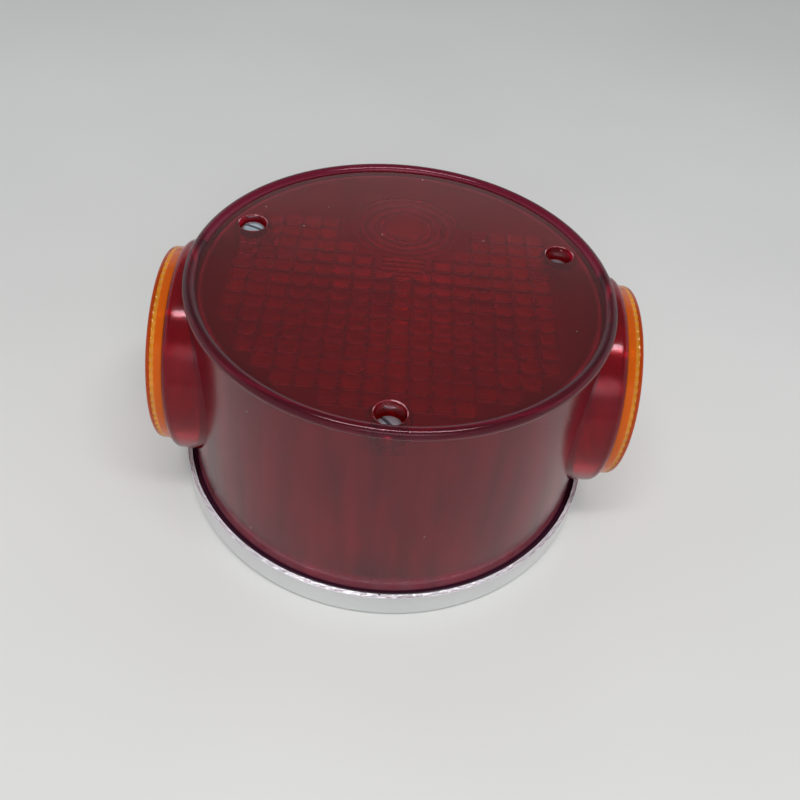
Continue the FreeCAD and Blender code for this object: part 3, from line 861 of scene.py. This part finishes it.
def build_screws():
    """Each screw with its slot turned as it was left and the slot faces coloured dark."""
    slot_angles = {"front": -50.0, "right": -35.0, "left": -22.0}
    slot_half = 0.5
    slot_depth = 1.1
    slot_reach = 5
    dark_slot_index = 1
    for side, (x, y) in SCREW_PLACES.items():
        outline, top = screw_outline(side)
        screw = build("screw_%s_visual" % side, lathe(outline, 64), 32.0)
        turn = Matrix.Rotation(math.radians(slot_angles[side]), 3, "Z")
        slot = box_shape((-slot_reach, -slot_half, top - slot_depth), (slot_reach, slot_half, top + 1))
        combine(screw, moved(slot, turn), "DIFFERENCE", 32.0)
        screw.data.transform(Matrix.Translation((x * MM, y * MM, 0)))
        finish_piece(screw, "screw_" + side, zinc, "zinc_screw", "screw_" + side)
        screw.data.materials.append(slot_dark)
        for face in screw.data.polygons:
            from_top = top - face.center.z / MM
            from_axis = math.dist(face.center[:2], (x * MM, y * MM)) / MM
            # the slot faces take the dark colour
            if 0.3 < from_top < slot_depth + 0.05 and from_axis < 3.0:
                face.material_index = dark_slot_index


# ------------------------------------------------------------------ base pan
def build_pan():
    """Pressed pan with a raised middle, a worn cut edge and painted shade inside its rim."""
    radius = pan_high.x
    height = pan_high.z
    sheet = 1.2
    rim = 1.4
    lift = 2.0
    edge = 44.0
    bend = 1.4
    lip = 0.25
    mean_wear = 0.26
    wear_swing = 0.40
    edge_slot = 1
    rim_shade_slot = 2
    outline = [(0, lift), (edge, lift), (edge + 0.3, lift - 0.2), (edge + 0.9, 0.2), (edge + 1.2, 0)]
    outline += arc((radius - bend, bend), bend, -90, 0, 8)
    outline += line((radius, bend), (radius, height - lip), 3)
    outline += arc((radius - lip, height - lip), lip, 0, 90, 3)[1:]
    inner = radius - rim
    outline += line((radius - lip, height), (inner + 0.2, height), 4)
    outline += [(inner, height - 0.2), (inner, sheet + 0.3), (inner - 0.3, sheet)]
    outline += [(edge + 1.7, sheet), (edge + 1.3, sheet + 0.2), (edge + 0.7, sheet + lift - 0.2)]
    outline += [(edge + 0.4, sheet + lift), (0, sheet + lift)]

    def worn(x, y, z, number):
        """The cut edge of the rim is uneven."""
        chip = mean_wear + wear_swing * ripple.noise(Vector((x, y, 0.9 * number)) * 0.8)
        depth = max(0.0, chip)
        return z - depth if z > height - 0.1 and math.hypot(x, y) < radius - 0.2 else z

    pan = build("base_pan_visual", lathe(outline, 720, relief=worn), 40.0)
    for x, y, hole in pan_holes():
        combine(pan, moved(rod_shape(hole, -1, 5, 48), None, (x, y, 0)), "DIFFERENCE", 40.0)
    finish_piece(pan, "base", chrome, "chrome_plate", "base_pan")
    pan.data.materials.append(raw_edge)
    pan.data.materials.append(painted_rim_shade)
    for face in pan.data.polygons:
        reach = math.hypot(face.center.x, face.center.y) / MM
        if face.center.z / MM > height - 0.6 and face.normal.z > 0.5:
            face.material_index = edge_slot
        # the inside of the rim gets the painted shade
        elif inner - 0.5 < reach < inner + 0.3 and face.center.z / MM > sheet:
            face.material_index = rim_shade_slot


def pan_holes():
    """Places and radii of the holes in the pan's floor."""
    cable_hole_radius = 5.5
    post_hole_radius = 2.6
    bolt_hole_radius = 3.3
    rivet_hole_radius = 1.6
    holes = [(*middle_of("wire_grommet"), cable_hole_radius)]
    holes += [(x, y, post_hole_radius) for x, y in SCREW_PLACES.values()]
    nuts_low, nuts_high = span("mounting_nuts")
    tab_low, tab_high = span("earth_rivet")
    rivets_low, rivets_high = span("socket_rivets")
    nut_half = (nuts_high.y - nuts_low.y) / math.sqrt(3)
    rivet_half = (tab_high.x - tab_low.x) / 2
    for sign in (-1, 1):
        nut_x = sign * (nuts_high.x - nut_half)
        rivet_x = sign * (rivets_high.x - rivet_half)
        holes.append((nut_x, (nuts_low.y + nuts_high.y) / 2, bolt_hole_radius))
        holes.append((rivet_x, (rivets_low.y + rivets_high.y) / 2, rivet_hole_radius))
    holes.append((*middle_of("earth_rivet"), rivet_hole_radius))
    return holes


# ------------------------------------------------------------------ bulb and spring
def build_bulb_glass():
    """Pear-shaped envelope with a thin wall."""
    top = glass_high.z
    low = glass_low.z
    belly = (glass_high.x - glass_low.x) / 2
    neck = 6.9
    wall = 0.7
    belly_steps = 26
    centre = top - belly
    outer = arc((0, centre), belly, 90, -8, belly_steps)
    foot = outer[-1]
    neck_top = low + 5.0
    outer += curve(foot, (foot[0] - 0.7, foot[1] - 4.0), (neck, neck_top + 6.0), (neck, neck_top), 14)
    outer += [(neck, low)]
    inner = [(max(radius - wall, 0.0), height) for radius, height in reversed(outer[1:-1])]
    inner = [(neck - wall, low)] + inner[:-belly_steps]
    inner += list(reversed(arc((0, centre), belly - wall, 90, -8, belly_steps)))
    shape = moved(lathe(outer + inner, 96), None, (0, bulls_eye_y, 0))
    envelope = build("bulb_glass_visual", shape)
    finish_piece(envelope, "bulb", bulb_glass, "bulb_glass", "bulb_glass")


def curve(start, first, second, end, steps):
    """Bezier points (r, z) after the start."""
    points = []
    for number in range(1, steps + 1):
        t = number / steps
        weights = ((1 - t) ** 3, 3 * t * (1 - t) ** 2, 3 * t * t * (1 - t), t ** 3)
        blend = [(w * r, w * z) for w, (r, z) in zip(weights, (start, first, second, end))]
        points.append((sum(r for r, z in blend), sum(z for r, z in blend)))
    return points


def coil(radius, low, high, turns, steps_per_turn, centre):
    """Points of a helix about a line along Z."""
    points = []
    count = int(turns * steps_per_turn)
    for number in range(count + 1):
        angle = 2 * math.pi * number / steps_per_turn
        height = low + (high - low) * number / count
        points.append((centre[0] + radius * math.cos(angle), centre[1] + radius * math.sin(angle), height))
    return points


def build_spring():
    """Coil spring of round wire with a little play at each end."""
    wire = 0.3
    play = 0.06
    turns = 3.0
    radius = (spring_high.x - spring_low.x) / 2 - wire
    centre = (0, (spring_low.y + spring_high.y) / 2)
    top = spring_high.z - play
    path = coil(radius, spring_low.z + wire + play, top - wire, turns, 40, centre)
    spring = build("socket_spring_visual", sweep(path, wire, 10), 50.0)
    finish_piece(spring, "base", steel, "spring_steel", "socket_spring")
    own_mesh(spring)


def build_filaments():
    """Fine tungsten coils lying along X between their supports."""
    wire = 0.06
    for kind, turns in (("brake", 22), ("tail", 14)):
        low, high = span(kind + "_filament")
        radius = (high.z - low.z) / 2 - wire
        along = coil(radius, low.x, high.x, turns, 12, (0, 0))
        middle_y = (low.y + high.y) / 2
        middle_z = (low.z + high.z) / 2
        path = [(length, middle_y + across, middle_z + up) for across, up, length in along]
        thing = build(kind + "_filament_visual", sweep(path, wire, 5), 60.0)
        finish_piece(thing, "bulb", tungsten, "tungsten", kind + "_filament")


# ------------------------------------------------------------------ CAD nodes that keep their shape
def smoothing_group():
    """Geometry nodes that shade a tessellated CAD mesh smooth except at real edges."""
    group = bpy.data.node_groups.new("smooth_by_angle", "GeometryNodeTree")
    group.interface.new_socket("Geometry", in_out="INPUT", socket_type="NodeSocketGeometry")
    group.interface.new_socket("Geometry", in_out="OUTPUT", socket_type="NodeSocketGeometry")
    nodes = group.nodes
    source = nodes.new("NodeGroupInput")
    target = nodes.new("NodeGroupOutput")
    weld = nodes.new("GeometryNodeMergeByDistance")
    weld.inputs["Distance"].default_value = 1e-6
    faces = nodes.new("GeometryNodeSetShadeSmooth")
    edges = nodes.new("GeometryNodeSetShadeSmooth")
    edges.domain = "EDGE"
    angle = nodes.new("GeometryNodeInputMeshEdgeAngle")
    compare = nodes.new("FunctionNodeCompare")
    compare.operation = "LESS_THAN"
    compare.inputs["B"].default_value = math.radians(32.0)
    group.links.new(source.outputs[0], weld.inputs["Geometry"])
    group.links.new(weld.outputs["Geometry"], faces.inputs["Geometry"])
    group.links.new(faces.outputs[0], edges.inputs["Geometry"])
    group.links.new(angle.outputs["Unsigned Angle"], compare.inputs["A"])
    group.links.new(compare.outputs["Result"], edges.inputs["Shade Smooth"])
    group.links.new(edges.outputs[0], target.inputs[0])
    return group


def dress_cad_nodes():
    """Materials and smooth shading for the nodes that are shown as the CAD has them."""
    looks = {
        "lens_gasket": rubber, "wire_grommet": rubber, "screw_posts": steel, "mounting_nuts": steel,
        "earth_tab": brass, "earth_rivet": steel, "socket_shell": nickel, "socket_rivets": steel,
        "socket_base": phenolic, "contact_carrier": phenolic, "contact_studs": brass,
        "bulb_cap": cap_brass, "bulb_pins": cap_brass, "bulb_insulator": black_glass,
        "bulb_contacts": solder, "bulb_stem": bulb_glass, "bulb_supports": steel,
        "screw_washers": fibre}
    group = smoothing_group()
    for name, material in looks.items():
        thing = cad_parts[name]
        thing.data.materials.clear()
        thing.data.materials.append(material)
        smooth = thing.modifiers.new("smooth", "NODES")
        smooth.node_group = group


# ------------------------------------------------------------------ stage, light and camera
def build_stage():
    """Plain pale floor just below the lamp."""
    floor_half = 3000
    floor_depth = 20
    floor_top = -0.02
    floor_material, surface = new_material("floor")
    tone = noise(floor_material, 6.0, 2.0)
    colours = [(0.3, (0.740, 0.740, 0.725)), (0.7, (0.695, 0.695, 0.680))]
    set_surface(floor_material, surface, Base_Color=ramp(floor_material, tone, colours), Roughness=0.55)
    low = (-floor_half, -floor_half, -floor_depth)
    floor = build("floor", box_shape(low, (floor_half, floor_half, floor_top)))
    floor.data.materials.append(floor_material)


def area_light(name, place_mm, target_mm, size, power, colour, in_gloss=True):
    """Soft rectangular lamp at a place, facing a target; in_gloss False keeps it out of reflections."""
    lamp = bpy.data.lights.new(name, "AREA")
    lamp.shape = "RECTANGLE"
    lamp.size, lamp.size_y = size[0] * MM, size[1] * MM
    lamp.energy = power
    lamp.color = colour
    thing = bpy.data.objects.new(name, lamp)
    bpy.context.scene.collection.objects.link(thing)
    thing.visible_glossy = in_gloss
    thing.location = Vector(place_mm) * MM
    thing.rotation_mode = "QUATERNION"
    thing.rotation_quaternion = (Vector(target_mm) - Vector(place_mm)).to_track_quat("-Z", "Y")


def build_lights():
    """A sky that is brighter low down, a strip above and a fill for the floor in front."""
    world = bpy.data.worlds.new("studio")
    bpy.context.scene.world = world
    world.use_nodes = True
    background = world.node_tree.nodes["Background"]
    background.inputs["Color"].default_value = (0.93, 0.96, 1.0, 1.0)
    way = add_node(world, "ShaderNodeTexCoord").outputs["Generated"]
    height = add_node(world, "ShaderNodeSeparateXYZ", Vector=way).outputs["Z"]
    strength = add_node(world, "ShaderNodeMapRange", {"interpolation_type": "SMOOTHSTEP"}, Value=height)
    for name, value in (("From Min", 0.47), ("From Max", 0.62), ("To Min", 0.66), ("To Max", 0.25)):
        strength.inputs[name].default_value = value
    connect(world, background.inputs["Strength"], strength.outputs["Result"])
    area_light("strip", (25, -210, 800), (0, 0, 60), (640, 80), 3.2, (1.0, 0.99, 0.97))
    area_light("front_fill", (60, -900, 620), (0, -330, 0), (700, 300), 4.5, (0.97, 0.98, 1.0), False)


def build_camera():
    """Camera at the photograph's height, heading, tilt and distance."""
    elevation = math.radians(45.1)
    heading = math.radians(-2.8)
    roll = math.radians(6.8)
    distance = 4.77 * rim_radius
    sideways = 0.084 * rim_radius
    upward = 0.257 * rim_radius
    turn = Matrix.Rotation(heading, 3, "Z")
    right = turn @ Vector((1, 0, 0))
    back = turn @ Vector((0, -math.cos(elevation), math.sin(elevation)))
    up = back.cross(right)
    rolled_right = math.cos(roll) * right + math.sin(roll) * up
    rolled_up = math.cos(roll) * up - math.sin(roll) * right
    optics_block = bpy.data.cameras.new("camera")
    optics_block.sensor_width = 36.0
    optics_block.lens = 38.25
    optics_block.clip_start = 0.01
    camera = bpy.data.objects.new("camera", optics_block)
    bpy.context.scene.collection.objects.link(camera)
    camera.location = (back * distance + rolled_right * sideways + rolled_up * upward) * MM
    camera.rotation_mode = "QUATERNION"
    camera.rotation_quaternion = Matrix((rolled_right, rolled_up, back)).transposed().to_quaternion()
    bpy.context.scene.camera = camera


build_lens()
build_window()
build_reflectors()
build_screws()
build_pan()
build_bulb_glass()
build_spring()
build_filaments()
dress_cad_nodes()
build_stage()
build_lights()
build_camera()
bpy.context.scene.view_settings.view_transform = "Standard"
